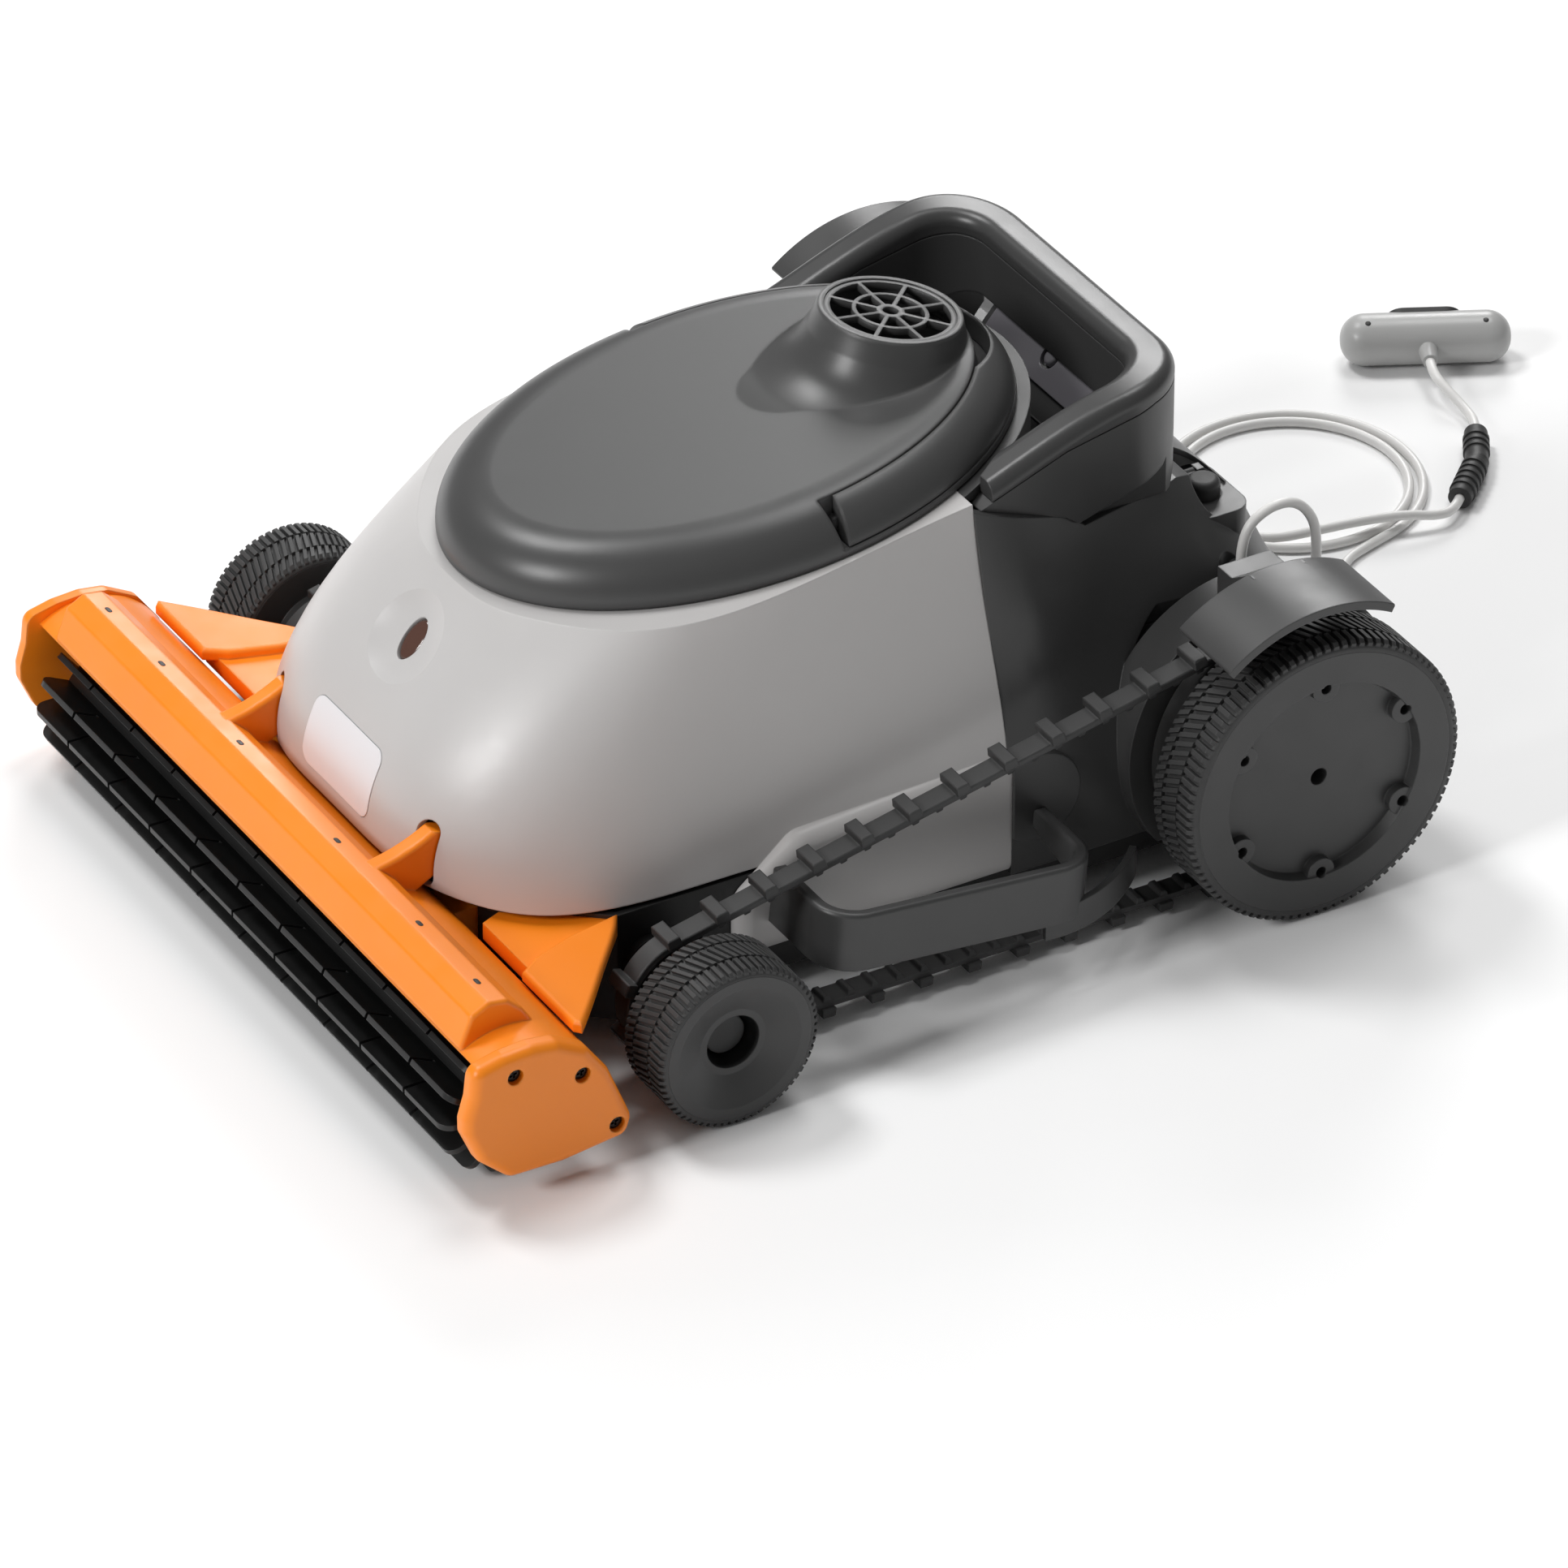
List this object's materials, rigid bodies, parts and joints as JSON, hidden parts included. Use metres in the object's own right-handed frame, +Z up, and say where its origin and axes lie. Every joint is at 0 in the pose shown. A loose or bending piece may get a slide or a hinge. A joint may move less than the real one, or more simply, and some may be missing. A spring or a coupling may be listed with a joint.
{
  "type": "robotic pool cleaner",
  "caption": "Cordless robotic pool cleaner with a grey and charcoal body, orange front brush housing, belt-driven wheels, lift-out filter lid and a float on a short cable.",
  "frame": {"origin": "on the floor, under the middle of the body's bounding box without the float cable", "axes": "-Y is the front with the brush, +X is the side with the cable gland, +Z is up"},
  "size_m": [0.406, 0.7395, 0.2363],
  "materials": {
    "grey_plastic": "satin",
    "charcoal_plastic": "fine grain",
    "charcoal_gloss": "satin",
    "lid_plastic": "satin",
    "panel_gloss": "gloss",
    "orange_plastic": "satin",
    "black_plastic": "matt",
    "hub_plastic": "matt",
    "black_rubber": "matt",
    "blade_rubber": "matt",
    "tyre_rubber": "matt",
    "white_cable": "satin",
    "float_grey": "matt",
    "label_white": "satin",
    "lens_glass": "clear",
    "mesh_fabric": "woven",
    "steel": "brushed",
    "dark_steel": "blackened",
    "brass": "turned"
  },
  "bodies": {
    "main_body": {"battery_pack": "black_plastic", "brush_end_cap_left": "orange_plastic", "brush_end_cap_right": "orange_plastic", "brush_housing": "orange_plastic", "brush_motor": "steel", "cable_gland": "black_plastic", "charge_socket": "black_plastic", "chassis_base": "black_plastic", "chassis_screws": "steel", "control_box": "black_plastic", "control_panel": "panel_gloss", "cord_coil": "white_cable", "cord_lead": "white_cable", "cord_tail": "white_cable", "drive_belt_left": "black_rubber", "drive_belt_right": "black_rubber", "drive_motor_left": "steel", "drive_motor_right": "steel", "end_cap_screws": "dark_steel", "float_body": "float_grey", "float_lead": "white_cable", "float_pad": "black_rubber", "front_axle_pins": "black_plastic", "front_shell": "grey_plastic", "handle_cap": "charcoal_gloss", "handle_frame": "charcoal_plastic", "inline_connector": "black_rubber", "label_plate": "label_white", "light_lens": "lens_glass", "pump_motor": "steel", "rear_fender_left": "charcoal_plastic", "rear_fender_right": "charcoal_plastic", "rear_shell": "charcoal_plastic", "shaft_bushes": "brass", "side_guard_left": "charcoal_plastic", "side_guard_right": "charcoal_plastic", "wing_bracket_left": "orange_plastic", "wing_bracket_right": "orange_plastic"},
    "filter_unit": {"lid_cover": "lid_plastic", "outlet_grille": "lid_plastic", "lid_gasket": "black_rubber", "filter_basket": "black_plastic", "filter_mesh": "mesh_fabric"},
    "lid_bail": {"lid_bail": "lid_plastic"},
    "inlet_flap": {"inlet_flap": "black_rubber"},
    "impeller": {"impeller": "black_plastic"},
    "power_button": {"power_button": "panel_gloss"},
    "port_cap": {"port_cap": "black_rubber"},
    "brush": {"brush_core": "black_plastic", "brush_blades": "blade_rubber"},
    "front_wheel_left": {"front_hub_left": "hub_plastic", "front_tyre_left": "tyre_rubber"},
    "front_wheel_right": {"front_hub_right": "hub_plastic", "front_tyre_right": "tyre_rubber"},
    "rear_wheel_left": {"rear_hub_left": "hub_plastic", "rear_tyre_left": "tyre_rubber"},
    "rear_wheel_right": {"rear_hub_right": "hub_plastic", "rear_tyre_right": "tyre_rubber"}
  },
  "joints": [
    {"name": "rear_spin_left", "type": "hinge", "parent": "main_body", "child": "rear_wheel_left", "pos_m": [-0.174, 0.1755, 0.0675], "axis": [1, 0, 0], "continuous": true},
    {"name": "rear_spin_right", "type": "hinge", "parent": "main_body", "child": "rear_wheel_right", "pos_m": [0.174, 0.1755, 0.0675], "axis": [1, 0, 0], "continuous": true},
    {"name": "front_spin_left", "type": "hinge", "parent": "main_body", "child": "front_wheel_left", "pos_m": [-0.184, -0.1145, 0.038], "axis": [1, 0, 0], "continuous": true},
    {"name": "front_spin_right", "type": "hinge", "parent": "main_body", "child": "front_wheel_right", "pos_m": [0.184, -0.1145, 0.038], "axis": [1, 0, 0], "continuous": true},
    {"name": "brush_spin", "type": "hinge", "parent": "main_body", "child": "brush", "pos_m": [0, -0.213, 0.0326], "axis": [1, 0, 0], "continuous": true},
    {"name": "impeller_spin", "type": "hinge", "parent": "main_body", "child": "impeller", "pos_m": [0, 0.074, 0.172], "axis": [0, 0, 1], "continuous": true},
    {"name": "filter_lift", "type": "slide", "parent": "main_body", "child": "filter_unit", "axis": [0, 0, 1], "range_m": [0, 0.15]},
    {"name": "bail_swing", "type": "hinge", "parent": "filter_unit", "child": "lid_bail", "pos_m": [0, -0.00064, 0.19417], "axis": [1, 0, 0], "range_deg": [0, 28]},
    {"name": "flap_swing", "type": "hinge", "parent": "filter_unit", "child": "inlet_flap", "pos_m": [0, -0.0789, 0.0713], "axis": [-1, 0, 0], "range_deg": [0, 65]},
    {"name": "button_press", "type": "slide", "parent": "main_body", "child": "power_button", "axis": [0, 0.757, -0.6534], "range_m": [0, 0.0015], "stiffness_N_per_m": 300, "springref_m": -0.002},
    {"name": "port_cap_swing", "type": "hinge", "parent": "main_body", "child": "port_cap", "pos_m": [0.0565, 0.187, 0.1454], "axis": [0, -1, 0], "range_deg": [0, 95]}
  ],
  "couplings": [
    {"joint": "front_spin_left", "follows": "rear_spin_left", "ratio": 2.2313},
    {"joint": "front_spin_right", "follows": "rear_spin_right", "ratio": 2.2313}
  ]
}
